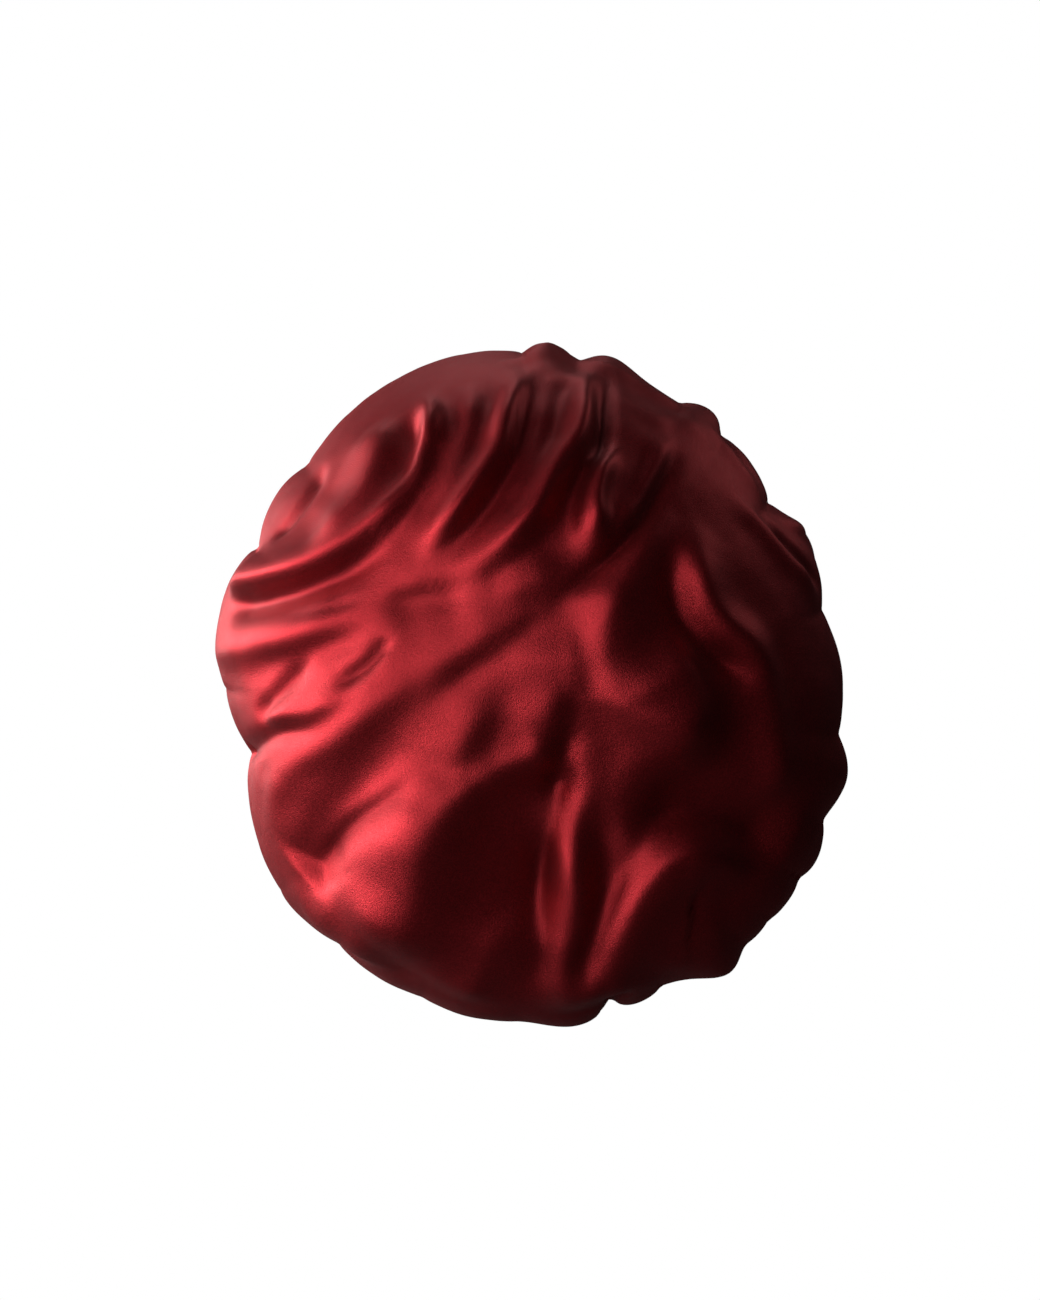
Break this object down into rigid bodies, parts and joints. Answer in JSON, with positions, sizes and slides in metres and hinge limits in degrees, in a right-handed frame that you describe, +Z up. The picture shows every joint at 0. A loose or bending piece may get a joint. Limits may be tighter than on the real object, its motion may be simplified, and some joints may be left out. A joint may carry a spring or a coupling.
{
  "type": "sleep bonnet",
  "caption": "Full round satin sleep bonnet, worn over the hair, with a softly folded pouch gathered onto an elastic band at the hairline.",
  "frame": {"origin": "centre of the head opening, where the elastic band rings the wearer's hairline", "axes": "+Z up, +Y towards the wearer's face, +X the wearer's right"},
  "size_m": [0.3007, 0.2502, 0.3244],
  "materials": {
    "satin": "crimson satin, soft sheen",
    "casing": "crimson satin casing ruched over elastic"
  },
  "bodies": {
    "root": {"crown": "satin", "elastic_band": "casing"}
  },
  "joints": []
}
